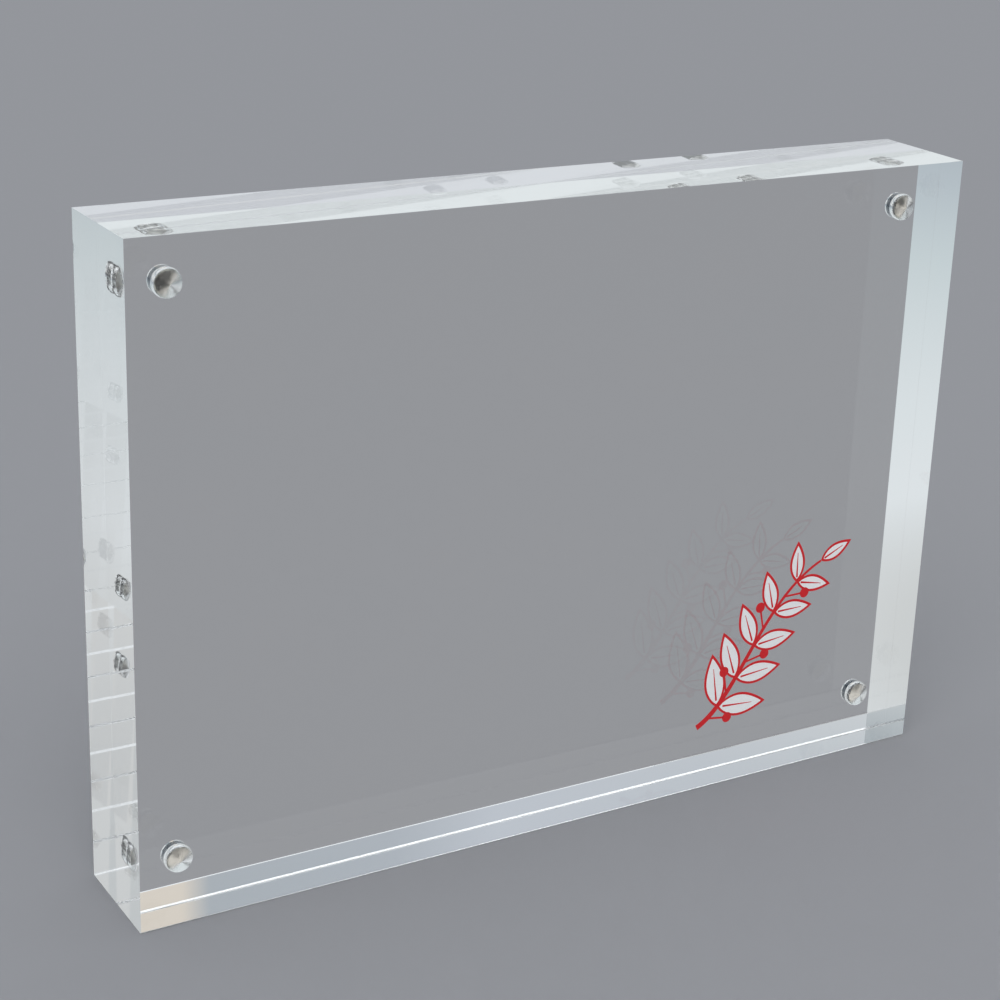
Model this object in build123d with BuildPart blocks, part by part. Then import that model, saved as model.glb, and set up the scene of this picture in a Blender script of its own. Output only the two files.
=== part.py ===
from build123d import *

import math
import os

# A clear acrylic block frame: two polished blocks, held face to face by magnets glued into their corners.
# X is the width, Y the depth with the front towards -Y, and Z is up.
# The origin is at the middle of the base, halfway between the two blocks.

# Driving dimensions, in millimetres and degrees
frame_width = 180.0
frame_height = 130.0
block_thickness = 12.0
block_gap = 0.1  # air left between the closed blocks, where a print lies
base_bevel = 0.3  # on the two long edges of a block's base
magnet_diameter = 5.0
magnet_thickness = 2.5
magnet_edge_radius = 0.25
magnet_inset = 10.0  # from a magnet's axis to the two nearest sides of its block
hole_clearance = 0.1  # round a magnet, filled with glue
drill_point_angle = 118.0  # included angle of the cone that the drill leaves at the end of a hole

# Fits worked out from them
magnet_radius = magnet_diameter / 2
hole_radius = magnet_radius + hole_clearance
magnet_proud = block_gap / 2  # a magnet stands out of its block as far as the magnet that it meets
hole_depth = magnet_thickness - magnet_proud
drill_point_depth = hole_radius / math.tan(math.radians(drill_point_angle / 2))
magnet_spacing_x = frame_width - 2 * magnet_inset
magnet_spacing_z = frame_height - 2 * magnet_inset

# Each block's side of the seam: the front block lies towards -Y
sides = {"front": -1, "back": 1}

# Each corner's side of the middle, along X and along Z
corners = {
    "top_left": (-1, 1),
    "top_right": (1, 1),
    "bottom_left": (-1, -1),
    "bottom_right": (1, -1),
}


def plane_in_block(outward, depth=0.0):
    """A plane in the middle of a block, facing out of the frame, so far below the block's inner face."""
    y = outward * (block_gap / 2 + depth)
    return Plane(origin=(0, y, frame_height / 2), x_dir=(1, 0, 0), z_dir=(0, outward, 0))


def plane_on_hole(outward, corner, depth=0.0):
    """A plane across the hole in one corner of a block, facing out of the frame."""
    plane = plane_in_block(outward, depth)
    plane.origin += Vector(corner[0] * magnet_spacing_x / 2, 0, corner[1] * magnet_spacing_z / 2)
    return plane


def make_block(outward):
    """A slab with a bevelled base, drilled from its inner face for a magnet in each corner."""
    with BuildPart() as block:
        with BuildSketch(plane_in_block(outward)):
            Rectangle(frame_width, frame_height)
        extrude(amount=block_thickness)
        chamfer(block.edges().filter_by(Axis.X).group_by(Axis.Z)[0], length=base_bevel)
        with BuildSketch(plane_in_block(outward)):
            with GridLocations(magnet_spacing_x, magnet_spacing_z, 2, 2):
                Circle(hole_radius)
        extrude(amount=hole_depth, mode=Mode.SUBTRACT)
        with Locations(plane_in_block(outward, hole_depth)):
            with GridLocations(magnet_spacing_x, magnet_spacing_z, 2, 2):
                Cone(
                    bottom_radius=hole_radius,
                    top_radius=0,
                    height=drill_point_depth,
                    align=(Align.CENTER, Align.CENTER, Align.MIN),
                    mode=Mode.SUBTRACT,
                )
    return block.part


def make_magnet(outward, corner):
    """A plated disc with rounded edges, its inner end against the opposite block's magnet."""
    with BuildPart() as magnet:
        with BuildSketch(plane_on_hole(outward, corner, -magnet_proud)):
            Circle(magnet_radius)
        extrude(amount=magnet_thickness)
        fillet(magnet.edges().filter_by(GeomType.CIRCLE), radius=magnet_edge_radius)
    return magnet.part


def make_glue(outward, corner):
    """A thin sleeve of clear glue that fills the hole round a magnet."""
    with BuildPart() as glue:
        with BuildSketch(plane_on_hole(outward, corner)):
            Circle(hole_radius)
            Circle(magnet_radius, mode=Mode.SUBTRACT)
        extrude(amount=hole_depth)
    return glue.part


def write_piece(piece, name):
    """Label a finished piece and write it to its own file."""
    piece.label = name
    export_step(piece, f"parts/{name}.step")


os.makedirs("parts", exist_ok=True)
for side, outward in sides.items():
    write_piece(make_block(outward), f"{side}_block")
    for place, corner in corners.items():
        write_piece(make_magnet(outward, corner), f"{side}_magnet_{place}")
        write_piece(make_glue(outward, corner), f"{side}_glue_{place}")
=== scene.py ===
"""The looks of a clear acrylic block frame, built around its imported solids.

X is the width, Y the depth with the front towards -Y, and Z is up. Lengths are in metres.
"""

import math

import bmesh
import bpy
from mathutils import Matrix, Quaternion, Vector


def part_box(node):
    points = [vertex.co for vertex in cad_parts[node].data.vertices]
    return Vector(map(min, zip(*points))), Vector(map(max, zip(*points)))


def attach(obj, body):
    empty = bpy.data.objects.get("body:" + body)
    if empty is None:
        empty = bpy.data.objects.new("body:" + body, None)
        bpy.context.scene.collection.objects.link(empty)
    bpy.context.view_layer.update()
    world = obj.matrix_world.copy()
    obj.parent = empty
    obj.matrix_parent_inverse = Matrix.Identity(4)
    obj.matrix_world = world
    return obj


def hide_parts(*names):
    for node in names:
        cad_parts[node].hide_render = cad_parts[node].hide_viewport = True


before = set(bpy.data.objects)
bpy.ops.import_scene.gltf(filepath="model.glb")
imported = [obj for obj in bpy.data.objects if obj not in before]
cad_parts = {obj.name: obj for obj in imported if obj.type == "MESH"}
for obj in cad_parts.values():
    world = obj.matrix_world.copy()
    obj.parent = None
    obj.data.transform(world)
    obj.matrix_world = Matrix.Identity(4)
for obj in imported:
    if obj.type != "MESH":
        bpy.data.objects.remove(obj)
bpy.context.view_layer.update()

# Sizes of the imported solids
block_low, block_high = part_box("front_block")
magnet_low, magnet_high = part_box("front_magnet_top_left")
glue_low, glue_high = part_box("front_glue_top_left")
width = block_high.x - block_low.x
height = block_high.z - block_low.z
thickness = block_high.y - block_low.y
half_gap = -block_high.y
outer_face = half_gap + thickness  # from the middle of the seam
magnet_radius = (magnet_high.x - magnet_low.x) / 2
magnet_thickness = magnet_high.y - magnet_low.y
hole_radius = (glue_high.x - glue_low.x) / 2
hole_depth = glue_high.y - glue_low.y

# Sizes of the finer forms
mm = 0.001
base_bevel = 0.3 * mm  # along the long edges of each block's base
seam_gap = 0.02 * mm  # with no print between them the blocks all but touch
drill_point_angle = math.radians(118)
drill_web_radius = 0.12 * mm  # the blunt middle of the drill's point
drill_marks = 12  # rings that the drill left in the cone
drill_mark_depth = 0.01 * mm
drill_mark_steps = 4
magnet_edge_radius = 0.25 * mm
magnet_edge_steps = 6
glue_film_gap = 0.01 * mm  # keeps the glue's faces off those of the hole and the magnet
glue_skin = 0.01 * mm  # on the outer end of a magnet
round_segments = 96

# Each block's side of the seam, and the places of its magnets
sides = {"front": -1, "back": 1}
places = ["top_left", "top_right", "bottom_left", "bottom_right"]

# Bands of a hole's wall: the depth from its mouth at which each one ends, and its surface
wall_bands = {
    "front": [(hole_depth, "drilled")],
    # the back holes' first band is painted shade: a dark colour where glue wets the wall
    "back": [(1.85 * mm, "wetted_painted_shade"), (hole_depth, "drilled")],
}
wall_hollow = {"front": 0.06, "back": 0.0}  # how deep a band is hollowed out, to its length
band_steps = 12

# Places of the plated surfaces on a magnet
plate_slot, side_slot = 0, 1

# Acrylic and glue
acrylic_ior = 1.49
acrylic_tints = ((0.985, 0.995, 1.0), (1.0, 1.0, 1.0))
glue_ior = 1.47
drill_grain = (0.1, 4.0, 0.1)  # stretches the spots on a drilled surface into rings
even_grain = (1.0, 1.0, 1.0)
noise_span = (0.3, 0.7)  # the values between which nearly all of a noise lies

# Places of the colours among the sockets of a mix node
mix_colours = (6, 7)
mix_result = 2

# The print on the front face: a sprig of leaves with berries, its lengths from its own middle
print_middle = Vector((50.0, 0.0, 34.5)) * mm
print_film = 0.02 * mm
print_room = {"front": print_film, "back": 0.0}  # taken off each block's outer face
print_lift = 0.001 * mm  # air between the acrylic and the film
print_film_step = 0.000001 * mm  # thins each form at both faces, so that no two lie in one plane
print_white_film = 0.01 * mm  # the white lies within the depth of the red
print_white_lift = 0.006 * mm
stem_bends = [
    Vector(bend) * mm for bend in ((-17.5, 0, -20), (-7, 0, -15), (-3, 0, 6), (12, 0, 12.5))
]
stem_widths = (1.3 * mm, 0.55 * mm)
stem_steps = 40
stem_way_step = 0.01  # share of the stem, each way, over which its direction is taken
leaf_pairs = [0.17, 0.34, 0.51, 0.68, 0.85]  # shares of the stem's length
leaf_lengths = (13.5 * mm, 8.5 * mm)
leaf_fullness = 0.21  # half the width of a leaf to its length
leaf_belly = 0.85  # power that moves the widest part of a leaf along it
leaf_roundness = 0.9  # power that rounds a leaf off towards its ends
leaf_lean = math.radians(52)
leaf_outline = 0.55 * mm
leaf_outline_base = 1.3  # width of the outline at a leaf's base, to that at its sides
leaf_outline_ends = 3.2  # the same at its base and its tip together
leaf_rib = 0.32 * mm
leaf_rib_places = (0.12, 0.4, 0.72)  # shares of the leaf's length
leaf_rib_taper = (1.4, 1.0, 0.4)
leaf_steps = 16
berry_radius = 1.15 * mm
berry_reach = 5.2 * mm
berry_lean = leaf_lean * 0.9
berry_lead = 0.085  # from a berry to the next leaves, as a share of the stem
berry_stalk = 0.45 * mm
berry_stalk_end = 0.9  # distance from the berry's middle to its radius
berry_steps = 32

# The camera that took the photograph, fitted to the corners of the blocks
camera_place = Vector((-0.21679, -0.34748, 0.21819))
camera_azimuth = math.radians(32.823)
camera_elevation = math.radians(19.892)
camera_roll = math.radians(2.699)
camera_lens_mm = 79.63
camera_sensor_mm = 36.0
camera_shift = (-0.075, -0.016)
camera_near = 10 * mm

# The stage
floor_radius = 6.0
floor_gap = 0.1 * mm  # air under the base, which touches the floor at a few points only
floor_grey = (0.30, 0.302, 0.32)
floor_seen = (0.296, 0.301, 0.318)  # the same grey as the blocks show it
daylight = (0.93, 0.97, 1.0)
daylight_strength = 0.72
lamp_strength = 1.2
lamp_spread = math.radians(50)
lamp_turn = (math.radians(35), 0, math.radians(-30))
path_bounces = 64

# The floor as the blocks reflect it, by its distance from the frame in metres
floor_reflected = [
    (0.02, (0.58, 0.59, 0.59)),
    (0.07, (0.62, 0.64, 0.64)),
    (0.12, (0.75, 0.79, 0.81)),
    (0.20, (0.71, 0.76, 0.78)),
    (0.40, (0.57, 0.64, 0.66)),
    (0.55, (0.47, 0.53, 0.57)),
    (1.00, (0.30, 0.34, 0.38)),
]
under_front = (0.75, 0.81, 0.83)
under_back = (0.62, 0.65, 0.71)
glint_reach = 0.4 * mm  # bright line of floor along the back of the base
glint_tone = (0.92, 0.94, 0.95)

# What the magnets reflect: a bright studio with a dark part in front
metal_passes = 8  # faces of block and glue that a ray crosses to a magnet and back
metal_tone = (1.38, 1.38, 1.42)
dark_tone = (0.012, 0.011, 0.01)
dark_floor_edge = (-0.17, -0.10)  # by y, dark before it
dark_floor_side = (0.02, 0.2)  # by x, dark to the left of it
metal_aside_edge = (0.6, 0.82)  # by x of the direction, bright beyond it
metal_high_edge = (0.5, 0.65)  # by z of the direction, bright above it
metal_low_edge = (0.09, 0.13)  # by z of the direction, bright below it
metal_low_side = (0.0, 0.06)  # by x of the direction, where that low part starts

# The room behind the frame as the blocks reflect it, by x over y of the direction
room_behind = [
    (0.402, (0.69, 0.63, 0.55)),
    (0.418, (0.37, 0.41, 0.45)),
    (0.530, (0.39, 0.43, 0.48)),
    (0.600, (0.50, 0.54, 0.60)),
    (0.850, (0.50, 0.54, 0.58)),
]
room_behind_first = room_behind[1][0]  # where its first panel ends
room_least_y = 0.001  # keeps the division in range

# The rest of that room, with the edges of its parts by z of the direction, or by y for the turn
room_aside = (0.56, 0.585, 0.59)  # in place of the first panel after several reflections
room_left = (0.27, 0.32, 0.355)
room_low = (0.74, 0.77, 0.78)
room_low_edge = (0.38, 0.46)
room_front = (0.66, 0.673, 0.67)
room_front_edge = (0.2, 0.4)
room_turn_edge = (-0.05, 0.05)  # from the front to behind
room_top = (0.90, 0.94, 0.97)
room_top_left = (0.60, 0.62, 0.63)  # in place of the top's left after several reflections
room_top_edge = (0.56, 0.7)
# painted glow: far brighter than the daylight, so that the seam's bevels show as white lines
painted_glow_beyond = (2.1, 2.16, 2.2)  # the sky straight through the blocks
room_level_edge = (0.135, 0.165)  # the plain background shows through the blocks below it


def add_node(tree, kind, inputs=None, **settings):
    """Add a shader node, with values for its inputs or sockets to link to them."""
    node = tree.nodes.new(kind)
    for name, value in settings.items():
        setattr(node, name, value)
    for name, value in (inputs or {}).items():
        if isinstance(value, bpy.types.NodeSocket):
            tree.links.new(value, node.inputs[name])
        else:
            node.inputs[name].default_value = value
    return node


def add_math(tree, operation, first, second=0.0, clamp=False):
    """The result of a sum with one or two numbers or sockets."""
    inputs = {0: first, 1: second}
    node = add_node(tree, "ShaderNodeMath", inputs, operation=operation, use_clamp=clamp)
    return node.outputs[0]


def add_match(tree, value, target, reach):
    """One where a value lies within reach of a target, and nought elsewhere."""
    inputs = {0: value, 1: target, 2: reach}
    return add_node(tree, "ShaderNodeMath", inputs, operation="COMPARE").outputs[0]


def add_rise(tree, value, start, end):
    """A smooth rise from nought at the start to one at the end."""
    inputs = {"Value": value, "From Min": start, "From Max": end}
    node = add_node(tree, "ShaderNodeMapRange", inputs, interpolation_type="SMOOTHSTEP")
    return node.outputs["Result"]


def add_fall(tree, value, start, end):
    """A smooth fall from one at the start to nought at the end."""
    return add_math(tree, "SUBTRACT", 1.0, add_rise(tree, value, start, end))


def add_ramp(tree, value, stops):
    """A colour that follows a value through stops from nought to one."""
    node = add_node(tree, "ShaderNodeValToRGB", {"Fac": value})
    elements = node.color_ramp.elements
    while len(elements) < len(stops):
        elements.new(0.5)
    for element, (position, colour) in zip(elements, stops):
        element.position = position
        element.color = (*colour, 1.0)
    return node.outputs["Color"]


def add_mix(tree, share, first, second):
    """A mix of two colours, given as sockets or as values."""
    node = add_node(tree, "ShaderNodeMix", {0: share}, data_type="RGBA")
    for place, value in zip(mix_colours, (first, second)):
        if isinstance(value, bpy.types.NodeSocket):
            tree.links.new(value, node.inputs[place])
        else:
            node.inputs[place].default_value = (*value, 1.0)
    return node.outputs[mix_result]


def add_noise(tree, scale, detail=2.0, stretch=even_grain):
    """A cloudy pattern in the object's own space, with about that many spots to a metre."""
    coordinates = add_node(tree, "ShaderNodeTexCoord").outputs["Object"]
    inputs = {"Vector": coordinates, "Scale": stretch}
    mapping = add_node(tree, "ShaderNodeMapping", inputs)
    inputs = {"Vector": mapping.outputs["Vector"], "Scale": scale, "Detail": detail}
    return add_node(tree, "ShaderNodeTexNoise", inputs).outputs["Fac"]


def add_range(tree, noise, low, high):
    """A noise brought between two values."""
    start, end = noise_span
    inputs = {"Value": noise, "From Min": start, "From Max": end, "To Min": low, "To Max": high}
    return add_node(tree, "ShaderNodeMapRange", inputs).outputs["Result"]


def add_bump(tree, relief, depth):
    """A surface relief of a depth in metres."""
    inputs = {"Height": relief, "Distance": depth}
    return add_node(tree, "ShaderNodeBump", inputs).outputs["Normal"]


def new_material(name):
    """An empty material, and its node tree with an output node."""
    material = bpy.data.materials.new(name)
    material.use_nodes = True
    tree = material.node_tree
    tree.nodes.clear()
    output = add_node(tree, "ShaderNodeOutputMaterial")
    return material, tree, output


def surface(name, make_inputs):
    """A material with one shader, whose inputs come from a function of its node tree."""
    material, tree, output = new_material(name)
    shader = add_node(tree, "ShaderNodeBsdfPrincipled", make_inputs(tree))
    tree.links.new(shader.outputs["BSDF"], output.inputs["Surface"])
    return material


def clear_acrylic(tree, roughness, scale, stretch=even_grain, clearness=1.0):
    """Clear acrylic whose polish varies a little from spot to spot."""
    spots = add_noise(tree, scale, stretch=stretch)
    return {
        "Base Color": add_mix(tree, spots, *acrylic_tints),
        "Roughness": add_range(tree, spots, *roughness),
        "IOR": acrylic_ior,
        "Transmission Weight": clearness,
    }


def cast_face(tree):
    """The broad faces as the sheet was cast."""
    return clear_acrylic(tree, roughness=(0.0, 0.002), scale=60.0)


def polished_edge(tree):
    """The sawn sides, milled along the edge and buffed clear."""
    return clear_acrylic(tree, roughness=(0.0, 0.004), scale=90.0, stretch=(1.0, 6.0, 1.0))


def outer_bevel(tree):
    """The narrow bevels along the outside of the base, scraped and buffed."""
    return clear_acrylic(tree, roughness=(0.05, 0.15), scale=400.0)


def inner_bevel(tree):
    """The narrow bevels along the seam in the base, scraped and buffed less."""
    return clear_acrylic(tree, roughness=(0.12, 0.22), scale=400.0, clearness=0.7)


def drilled_wall(tree):
    """The wall of a hole, a little dulled by the drill."""
    roughness = (0.1, 0.16)
    return clear_acrylic(tree, roughness, scale=900.0, stretch=drill_grain, clearness=0.9)


def drill_point(tree):
    """The cone at the end of a hole, rougher than the wall."""
    return clear_acrylic(tree, roughness=(0.27, 0.36), scale=900.0, stretch=drill_grain)


def wetted_wall_painted_shade(tree):
    """Where glue wets the wall: painted shade, a dark metallic colour on the acrylic that stands
    in for the dark look of the wetted bore.
    """
    spots = add_noise(tree, scale=1100.0, detail=3.0)
    # dark colours of painted shade
    stops = [(0.35, (0.07, 0.085, 0.11)), (0.65, (0.13, 0.15, 0.17))]
    return {
        "Base Color": add_ramp(tree, spots, stops),
        "Metallic": 1.0,
        "Roughness": add_range(tree, spots, low=0.1, high=0.3),
    }


def nickel_side_painted_light(tree):
    """The plating on a magnet's side, duller than that on its ends, and painted lighter than them:
    painted light that brightens the side as it shows inside the block.
    """
    spots = add_noise(tree, scale=1500.0, detail=3.0)
    # lighter than the plate on the magnet's ends: painted light
    stops = [(0.35, (0.76, 0.77, 0.79)), (0.65, (0.88, 0.89, 0.90))]
    return {
        "Base Color": add_ramp(tree, spots, stops),
        "Metallic": 1.0,
        "Roughness": add_range(tree, spots, low=0.2, high=0.35),
    }


def nickel_plate(tree):
    """Bright nickel with fine scratches and a faint orange peel."""
    peel = add_noise(tree, scale=2500.0)
    scratches = add_noise(tree, scale=3000.0, detail=4.0, stretch=(1.0, 1.0, 0.05))
    stops = [(0.3, (0.60, 0.57, 0.53)), (0.7, (0.68, 0.65, 0.61))]
    return {
        "Base Color": add_ramp(tree, peel, stops),
        "Metallic": 1.0,
        "Roughness": add_range(tree, scratches, low=0.1, high=0.28),
        "Normal": add_bump(tree, peel, depth=0.002 * mm),
    }


def cured_glue(tree):
    """Clear glue, a little cloudy."""
    clouds = add_noise(tree, scale=800.0)
    stops = [(0.3, (0.95, 0.95, 0.91)), (0.7, (0.99, 0.99, 0.97))]
    return {
        "Base Color": add_ramp(tree, clouds, stops),
        "Roughness": add_range(tree, clouds, low=0.03, high=0.12),
        "IOR": glue_ior,
        "Transmission Weight": 1.0,
    }


def ink(tree, dark, light):
    """Screen print, between two shades of a colour."""
    grain = add_noise(tree, scale=2600.0, detail=3.0)
    return {
        "Base Color": add_ramp(tree, grain, [(0.3, dark), (0.7, light)]),
        "Roughness": add_range(tree, grain, low=0.35, high=0.5),
        "Normal": add_bump(tree, grain, depth=0.004 * mm),
    }


def red_ink(tree):
    """Red screen print."""
    return ink(tree, dark=(0.66, 0.010, 0.016), light=(0.76, 0.016, 0.022))


def white_ink(tree):
    """White screen print."""
    return ink(tree, dark=(0.94, 0.94, 0.94), light=(0.98, 0.98, 0.98))


def add_circle(bm, centre, radius, y):
    """A ring of points round an axis along Y."""
    ring = []
    for step in range(round_segments):
        angle = 2 * math.pi * step / round_segments
        x = centre.x + radius * math.cos(angle)
        z = centre.z + radius * math.sin(angle)
        ring.append(bm.verts.new((x, y, z)))
    return ring


def join_rings(bm, first, second, slot=0):
    """A smooth band of faces between two rings of points."""
    for step in range(round_segments):
        after = (step + 1) % round_segments
        face = bm.faces.new((first[step], first[after], second[after], second[step]))
        face.smooth = True
        face.material_index = slot


def close_ring(bm, ring, slot=0):
    """A flat end across a ring."""
    face = bm.faces.new(ring)
    face.material_index = slot


def keep_sharp(bm, ring):
    """Mark the edges of a ring as sharp."""
    for step in range(round_segments):
        edge = bm.edges.get((ring[step], ring[(step + 1) % round_segments]))
        edge.smooth = False


def new_object(name, bm, materials):
    """Finish a mesh as an object in the scene."""
    bmesh.ops.recalc_face_normals(bm, faces=bm.faces)
    mesh = bpy.data.meshes.new(name)
    bm.to_mesh(mesh)
    bm.free()
    for material in materials:
        mesh.materials.append(material)
    made = bpy.data.objects.new(name, mesh)
    bpy.context.scene.collection.objects.link(made)
    return made


def add_slab(bm, side, slots):
    """A plain block with the long edges of its base bevelled."""
    outward = sides[side]
    inner_y = outward * seam_gap / 2
    slab = outer_face - seam_gap / 2 - print_room[side]
    middle = (0, inner_y + outward * slab / 2, height / 2)
    bmesh.ops.create_cube(bm, size=1.0)
    bmesh.ops.scale(bm, vec=(width, slab, height), verts=bm.verts)
    bmesh.ops.translate(bm, vec=middle, verts=bm.verts)
    for face in bm.faces:
        face.material_index = slots["face" if abs(face.normal.y) > 0.5 else "edge"]
    base_edges = [
        edge for edge in bm.edges
        if max(vert.co.z for vert in edge.verts) < base_bevel and edge.calc_length() > width / 2
    ]
    bevelled = bmesh.ops.bevel(
        bm, geom=base_edges, offset=base_bevel, offset_type="OFFSET", segments=1, affect="EDGES"
    )
    for face in bevelled["faces"]:
        outside = outward * face.calc_center_median().y > half_gap + thickness / 2
        face.material_index = slots["outer bevel" if outside else "inner bevel"]


def add_mouths(bm, side, centres, slot):
    """Round openings in a block's inner face, given back as rings of points."""
    outward = sides[side]
    inner = min(bm.faces, key=lambda face: outward * face.calc_center_median().y)
    edges = list(inner.edges)
    bmesh.ops.delete(bm, geom=[inner], context="FACES_ONLY")
    mouths = [add_circle(bm, centre, hole_radius, outward * seam_gap / 2) for centre in centres]
    for mouth in mouths:
        edges += [bm.edges.new((mouth[step - 1], mouth[step])) for step in range(round_segments)]
    filled = bmesh.ops.triangle_fill(bm, use_beauty=True, edges=edges)
    for face in filled["geom"]:
        if isinstance(face, bmesh.types.BMFace):
            face.material_index = slot
    return mouths


def cone_profile():
    """Radii and depths of the rings in a hole's cone, from its rim to its blunt middle."""
    steps = drill_mark_steps * drill_marks
    slope = math.tan(drill_point_angle / 2)
    profile = []
    for step in range(1, steps + 1):
        radius = hole_radius + (drill_web_radius - hole_radius) * step / steps
        wave = drill_mark_depth / 2 * math.sin(2 * math.pi * step / drill_mark_steps)
        profile.append((radius, hole_depth + (hole_radius - radius) / slope + wave))
    return profile


def add_hole(bm, side, centre, mouth, slots):
    """The wall of a hole and the cone at its end, inwards from its mouth."""
    outward = sides[side]
    ring = mouth
    sharp_rings = [mouth]
    start = 0.0
    for end, finish in wall_bands[side]:
        length = end - start
        for step in range(1, band_steps + 1):
            share = step / band_steps
            radius = hole_radius + wall_hollow[side] * length * math.sin(math.pi * share)
            y = outward * (half_gap + start + length * share)
            deeper = add_circle(bm, centre, radius, y)
            join_rings(bm, ring, deeper, slots[finish])
            ring = deeper
        sharp_rings.append(ring)
        start = end
    for radius, depth in cone_profile():
        deeper = add_circle(bm, centre, radius, outward * (half_gap + depth))
        join_rings(bm, ring, deeper, slots["point"])
        ring = deeper
    close_ring(bm, ring, slots["point"])
    for sharp in (*sharp_rings, ring):
        keep_sharp(bm, sharp)


def make_block(side, centres, surfaces):
    """A slab with a bevelled base, drilled from its inner face for a magnet in each corner."""
    slots = {name: index for index, name in enumerate(surfaces)}
    bm = bmesh.new()
    add_slab(bm, side, slots)
    mouths = add_mouths(bm, side, centres, slots["face"])
    for centre, mouth in zip(centres, mouths):
        add_hole(bm, side, centre, mouth, slots)
    return new_object(f"{side}_block_clear", bm, surfaces.values())


def magnet_profile():
    """Radii and depths along a magnet's outline, from its inner end to its outer end."""
    profile = []
    for step in range(magnet_edge_steps + 1):
        angle = math.pi / 2 * step / magnet_edge_steps
        radius = magnet_radius - magnet_edge_radius * (1 - math.sin(angle))
        profile.append((radius, magnet_edge_radius * (1 - math.cos(angle))))
    return profile + [(radius, magnet_thickness - depth) for radius, depth in reversed(profile)]


def make_magnet(side, place, centre, materials):
    """A plated disc with rounded edges."""
    bm = bmesh.new()
    outward = sides[side]
    rings = [add_circle(bm, centre, radius, outward * depth) for radius, depth in magnet_profile()]
    for step, (first, second) in enumerate(zip(rings, rings[1:])):
        join_rings(bm, first, second, side_slot if step == magnet_edge_steps else plate_slot)
    for end in (rings[0], rings[-1]):
        close_ring(bm, end, plate_slot)
    return new_object(f"{side}_magnet_{place}_plated", bm, materials)


def make_glue(side, place, centre, material):
    """A thin sleeve of glue round a magnet, with a skin of it over the magnet's outer end."""
    bm = bmesh.new()
    outward = sides[side]
    mouth = half_gap + glue_film_gap
    rim = half_gap + hole_depth - glue_film_gap
    skin = half_gap + hole_depth + glue_film_gap
    inside, outside = magnet_radius + glue_film_gap, hole_radius - glue_film_gap
    section = [
        (inside, skin),
        (inside, mouth),
        (outside, mouth),
        (outside, rim),
        (inside, skin + glue_skin),
    ]
    rings = [add_circle(bm, centre, radius, outward * depth) for radius, depth in section]
    for first, second in zip(rings, rings[1:]):
        join_rings(bm, first, second)
    for end in (rings[0], rings[-1]):
        close_ring(bm, end)
    for ring in rings:
        keep_sharp(bm, ring)
    return new_object(f"{side}_glue_{place}_clear", bm, [material])


def between(ends, share):
    """A number at a share of the way between two others."""
    return ends[0] + (ends[1] - ends[0]) * share


def stem_point(share):
    """A point of the sprig's stem, at a share of the way along its curve."""
    rest = 1 - share
    weights = (rest**3, 3 * rest**2 * share, 3 * rest * share**2, share**3)
    return sum((weight * bend for weight, bend in zip(weights, stem_bends)), Vector())


def stem_way(share):
    """The direction of the stem at a share of the way along it."""
    ahead, behind = stem_point(share + stem_way_step), stem_point(share - stem_way_step)
    return (ahead - behind).normalized()


def turned(way, angle):
    """A direction in the face of the block, turned anticlockwise as seen from the front."""
    return Quaternion((0, -1, 0), angle) @ way


def strip_sides(spine, widths):
    """Both long sides of a strip along a line of points."""
    left, right = [], []
    for step, point in enumerate(spine):
        way = spine[min(step + 1, len(spine) - 1)] - spine[max(step - 1, 0)]
        across = turned(way.normalized(), math.pi / 2) * widths[step] / 2
        left.append(point + across)
        right.append(point - across)
    return left, right


def leaf_sides(base, way, length, inset):
    """Both sides of a leaf from its base to its tip, drawn in by an inset."""
    across = turned(way, math.pi / 2)
    left, right = [], []
    for step in range(leaf_steps + 1):
        share = step / leaf_steps
        along = inset * leaf_outline_base + (length - inset * leaf_outline_ends) * share
        bulge = math.sin(math.pi * share**leaf_belly) ** leaf_roundness
        half = max(leaf_fullness * length - inset, 0) * bulge
        left.append(base + way * along + across * half)
        right.append(base + way * along - across * half)
    return left, right


def add_film(bm, left, right, film=print_film, lift=print_lift):
    """A closed film of ink between two sides, each given from end to end."""
    thinned = len(bm.faces) * print_film_step
    back_y = -outer_face + print_film - lift - thinned
    front_y = -outer_face + print_film - film + thinned
    layers = []
    for y in (front_y, back_y):
        place = Vector((0, y, 0)) + print_middle
        layers.append([[bm.verts.new(point + place) for point in side] for side in (left, right)])
    (front_left, front_right), (back_left, back_right) = layers
    last = len(left) - 1
    for step in range(last):
        after = step + 1
        bm.faces.new((front_left[step], front_right[step], front_right[after], front_left[after]))
        bm.faces.new((back_left[step], back_left[after], back_right[after], back_right[step]))
        bm.faces.new((front_left[step], front_left[after], back_left[after], back_left[step]))
        bm.faces.new((front_right[step], back_right[step], back_right[after], front_right[after]))
    for step in (0, last):
        bm.faces.new((front_left[step], back_left[step], back_right[step], front_right[step]))


def add_leaf(red, white, base, way, length):
    """A white leaf with a red outline and a red rib."""
    outer = leaf_sides(base, way, length, 0)
    inner = leaf_sides(base, way, length, leaf_outline)
    add_film(white, *inner, print_white_film, print_white_lift)
    for side, edge in zip(outer, inner):
        add_film(red, side, edge)
    rib = [base + way * length * share for share in leaf_rib_places]
    add_film(red, *strip_sides(rib, [leaf_rib * part for part in leaf_rib_taper]))


def add_berry(red, base, way):
    """A round berry on a short stalk."""
    middle = base + way * berry_reach
    stalk = [base, middle - way * berry_radius * berry_stalk_end]
    add_film(red, *strip_sides(stalk, (berry_stalk, berry_stalk)))
    left, right = [], []
    for step in range(1, berry_steps):
        angle = math.pi * step / berry_steps
        left.append(middle + turned(way, math.pi - angle) * berry_radius)
        right.append(middle + turned(way, math.pi + angle) * berry_radius)
    add_film(red, left, right)


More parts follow.
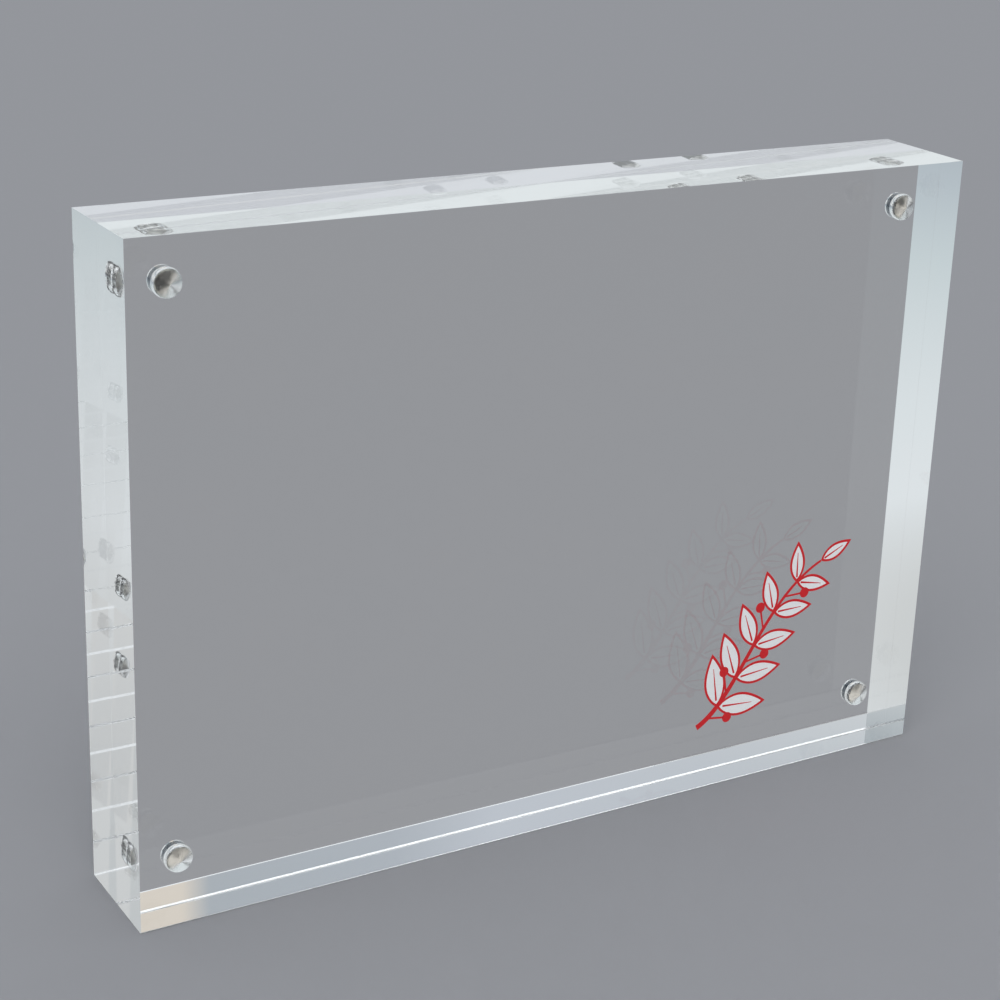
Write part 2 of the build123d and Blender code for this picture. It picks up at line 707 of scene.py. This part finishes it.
def make_print(inks):
    """The sprig printed on the front face."""
    red, white = bmesh.new(), bmesh.new()
    shares = [step / stem_steps for step in range(stem_steps + 1)]
    widths = [between(stem_widths, share) for share in shares]
    add_film(red, *strip_sides([stem_point(share) for share in shares], widths))
    for step, share in enumerate(leaf_pairs):
        length = between(leaf_lengths, share)
        for lean in (leaf_lean, -leaf_lean):
            add_leaf(red, white, stem_point(share), turned(stem_way(share), lean), length)
        before = share - berry_lead
        side = 1 if step % 2 else -1
        add_berry(red, stem_point(before), turned(stem_way(before), side * berry_lean))
    add_leaf(red, white, stem_point(1), stem_way(1 - stem_way_step), leaf_lengths[1])
    for bm, name in ((red, "red"), (white, "white")):
        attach(new_object(f"front_print_{name}", bm, [inks[name]]), "front")


def place_piece(piece, body, node):
    """Let a piece stand for its node and move with its body."""
    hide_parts(node)
    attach(piece, body)


def make_frame():
    """Both blocks, with their magnets and glue and the print."""
    acrylic = {
        "face": surface("acrylic_cast_face", cast_face),
        "edge": surface("acrylic_polished_edge", polished_edge),
        "outer bevel": surface("acrylic_outer_bevel", outer_bevel),
        "inner bevel": surface("acrylic_inner_bevel", inner_bevel),
        "drilled": surface("acrylic_drilled_wall", drilled_wall),
        "point": surface("acrylic_drill_point", drill_point),
        # the wetted band of the back holes is painted shade
        "wetted_painted_shade": surface("acrylic_wall_painted_shade", wetted_wall_painted_shade),
    }
    # the sides' nickel is painted lighter than the ends' nickel
    nickel = [surface("nickel_plate", nickel_plate), surface("nickel_side_painted_light", nickel_side_painted_light)]
    glue = surface("cured_glue", cured_glue)
    for side in sides:
        centres = []
        for place in places:
            low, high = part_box(f"{side}_magnet_{place}")
            centres.append((low + high) / 2)
        place_piece(make_block(side, centres, acrylic), side, f"{side}_block")
        for place, centre in zip(places, centres):
            magnet = make_magnet(side, place, centre, nickel)
            place_piece(magnet, side, f"{side}_magnet_{place}")
            sleeve = make_glue(side, place, centre, glue)
            place_piece(sleeve, side, f"{side}_glue_{place}")
    make_print({"red": surface("red_ink", red_ink), "white": surface("white_ink", white_ink)})


def at_least(tree, count, least):
    """One where a count reaches a whole number, and nought elsewhere."""
    return add_math(tree, "GREATER_THAN", count, least - 0.5)


def metal_share(tree, light_path):
    """One for a ray that crossed as many faces as to a magnet and back, else nought."""
    return add_match(tree, light_path["Transmission Depth"], metal_passes, 0.5)


def reflected_floor(tree, x, y, reach, light_path):
    """The floor that the blocks and the magnets reflect, by its place and its distance."""
    across = add_math(tree, "LESS_THAN", add_math(tree, "ABSOLUTE", x), width / 2)
    along = add_math(tree, "LESS_THAN", add_math(tree, "ABSOLUTE", y), outer_face)
    beneath = add_math(tree, "MULTIPLY", across, along)
    under = add_mix(tree, add_math(tree, "GREATER_THAN", y, 0.0), under_front, under_back)
    pale = add_mix(tree, beneath, add_ramp(tree, reach, floor_reflected), under)

    before = add_fall(tree, y, *dark_floor_edge)
    left = add_fall(tree, x, *dark_floor_side)
    metal = add_mix(tree, add_math(tree, "MULTIPLY", before, left), metal_tone, dark_tone)
    mirror = add_mix(tree, metal_share(tree, light_path), floor_seen, metal)
    often = at_least(tree, light_path["Glossy Depth"], 2)
    in_front = add_math(tree, "LESS_THAN", y, -outer_face)
    mirrored = add_math(tree, "SUBTRACT", in_front, often, clamp=True)
    return add_mix(tree, mirrored, pale, mirror)


def make_floor():
    """A wide plain grey floor, which glows with painted tones, reflections and a glint, for rays
    through and in the blocks.
    """
    material, tree, output = new_material("floor_grey")
    light_path = add_node(tree, "ShaderNodeLightPath").outputs
    reflected = at_least(tree, light_path["Glossy Depth"], 1)
    entered = at_least(tree, light_path["Transmission Depth"], 1)
    spot = add_node(tree, "ShaderNodeNewGeometry").outputs["Position"]
    x, y = add_node(tree, "ShaderNodeSeparateXYZ", {0: spot}).outputs[:2]
    reach = add_node(tree, "ShaderNodeVectorMath", {0: spot}, operation="LENGTH").outputs["Value"]

    inside = reflected_floor(tree, x, y, reach, light_path)
    glint = add_match(tree, y, outer_face + glint_reach / 2, glint_reach / 2)
    straight = add_mix(tree, glint, floor_seen, glint_tone)
    tone = add_mix(tree, add_math(tree, "MULTIPLY", reflected, entered), straight, inside)

    plain = add_node(tree, "ShaderNodeBsdfDiffuse", {"Color": (*floor_grey, 1.0)})
    glow = add_node(tree, "ShaderNodeEmission", {"Color": tone})
    marked = add_math(tree, "MAXIMUM", reflected, entered)
    shaders = {0: marked, 1: plain.outputs[0], 2: glow.outputs[0]}
    mix = add_node(tree, "ShaderNodeMixShader", shaders)
    tree.links.new(mix.outputs[0], output.inputs["Surface"])
    material.cycles.emission_sampling = "NONE"
    bm = bmesh.new()
    bmesh.ops.create_circle(bm, cap_ends=True, segments=round_segments, radius=floor_radius)
    bmesh.ops.translate(bm, vec=(0, 0, -floor_gap), verts=bm.verts)
    floor = new_object("floor", bm, [material])


def room_front_tone(tree, x, z, light_path):
    """The room in front of the frame: darker low down, and bright and dark for the magnets."""
    front = add_mix(tree, add_rise(tree, z, *room_front_edge), dark_tone, room_front)
    aside = add_rise(tree, x, *metal_aside_edge)
    low = add_fall(tree, z, *metal_low_edge)
    low = add_math(tree, "MULTIPLY", low, add_rise(tree, x, *metal_low_side))
    high = add_rise(tree, z, *metal_high_edge)
    bright = add_math(tree, "MAXIMUM", aside, add_math(tree, "MAXIMUM", low, high))
    metal = add_mix(tree, bright, dark_tone, metal_tone)
    return add_mix(tree, metal_share(tree, light_path), front, metal)


def reflected_room(tree, x, y, z, light_path):
    """The studio that the blocks reflect: panels behind, a front, and a bright top."""
    often = at_least(tree, light_path["Glossy Depth"], 2)
    leftward = add_math(tree, "LESS_THAN", x, 0.0)
    turn = add_math(tree, "DIVIDE", x, add_math(tree, "MAXIMUM", y, room_least_y))
    first = add_math(tree, "LESS_THAN", turn, room_behind_first)
    replaced = add_math(tree, "MULTIPLY", often, first)
    panels = add_mix(tree, replaced, add_ramp(tree, turn, room_behind), room_aside)
    panels = add_mix(tree, leftward, panels, room_left)
    behind = add_mix(tree, add_rise(tree, z, *room_low_edge), room_low, panels)
    front = room_front_tone(tree, x, z, light_path)
    around = add_mix(tree, add_rise(tree, y, *room_turn_edge), front, behind)
    top = add_mix(tree, add_math(tree, "MULTIPLY", often, leftward), room_top, room_top_left)
    return add_mix(tree, add_rise(tree, z, *room_top_edge), around, top)


def make_world():
    """Even daylight all round, with a plain grey background, the room that the blocks show, and a
    painted glow seen straight through them.
    """
    world = bpy.data.worlds.new("studio")
    bpy.context.scene.world = world
    world.use_nodes = True
    tree = world.node_tree
    tree.nodes.clear()
    output = add_node(tree, "ShaderNodeOutputWorld")
    light_path = add_node(tree, "ShaderNodeLightPath").outputs
    reflected = at_least(tree, light_path["Glossy Depth"], 1)
    direction = add_node(tree, "ShaderNodeTexCoord").outputs["Generated"]
    x, y, z = add_node(tree, "ShaderNodeSeparateXYZ", {0: direction}).outputs

    passing = light_path["Is Transmission Ray"]
    through = add_math(tree, "MULTIPLY", passing, add_fall(tree, z, *room_level_edge))
    seen = add_math(tree, "ADD", light_path["Is Camera Ray"], through)
    straight = add_math(tree, "SUBTRACT", seen, reflected, clamp=True)
    open_tone = [daylight_strength * part for part in daylight]
    # rays straight through the blocks see a painted glow in place of the daylight
    daylight_and_painted_glow = add_mix(tree, passing, open_tone, painted_glow_beyond)
    room = reflected_room(tree, x, y, z, light_path)
    tone = add_mix(tree, straight, add_mix(tree, reflected, daylight_and_painted_glow, room), floor_grey)
    background = add_node(tree, "ShaderNodeBackground", {"Color": tone})
    tree.links.new(background.outputs[0], output.inputs["Surface"])


def make_lamp():
    """A broad soft lamp from above, which the blocks don't show."""
    lamp = bpy.data.lights.new("soft_lamp", "SUN")
    lamp.energy = lamp_strength
    lamp.angle = lamp_spread
    holder = bpy.data.objects.new("soft_lamp", lamp)
    holder.rotation_euler = lamp_turn
    holder.visible_glossy = False
    holder.visible_transmission = False
    bpy.context.scene.collection.objects.link(holder)


def make_camera():
    """The photograph's view."""
    data = bpy.data.cameras.new("camera")
    data.sensor_width = camera_sensor_mm
    data.lens = camera_lens_mm
    data.shift_x, data.shift_y = camera_shift
    data.clip_start = camera_near
    camera = bpy.data.objects.new("camera", data)
    level = math.cos(camera_elevation)
    ahead = Vector((
        math.sin(camera_azimuth) * level,
        math.cos(camera_azimuth) * level,
        -math.sin(camera_elevation),
    ))
    camera.location = camera_place
    camera.rotation_mode = "QUATERNION"
    roll = Quaternion((0, 0, 1), camera_roll)
    camera.rotation_quaternion = ahead.to_track_quat("-Z", "Y") @ roll
    bpy.context.scene.collection.objects.link(camera)
    bpy.context.scene.camera = camera


def set_paths():
    """Let light bounce inside the clear blocks until it comes out."""
    scene = bpy.context.scene
    scene.view_settings.view_transform = "Standard"
    scene.cycles.max_bounces = path_bounces
    scene.cycles.glossy_bounces = path_bounces
    scene.cycles.transmission_bounces = path_bounces


make_frame()
make_floor()
make_world()
make_lamp()
make_camera()
set_paths()
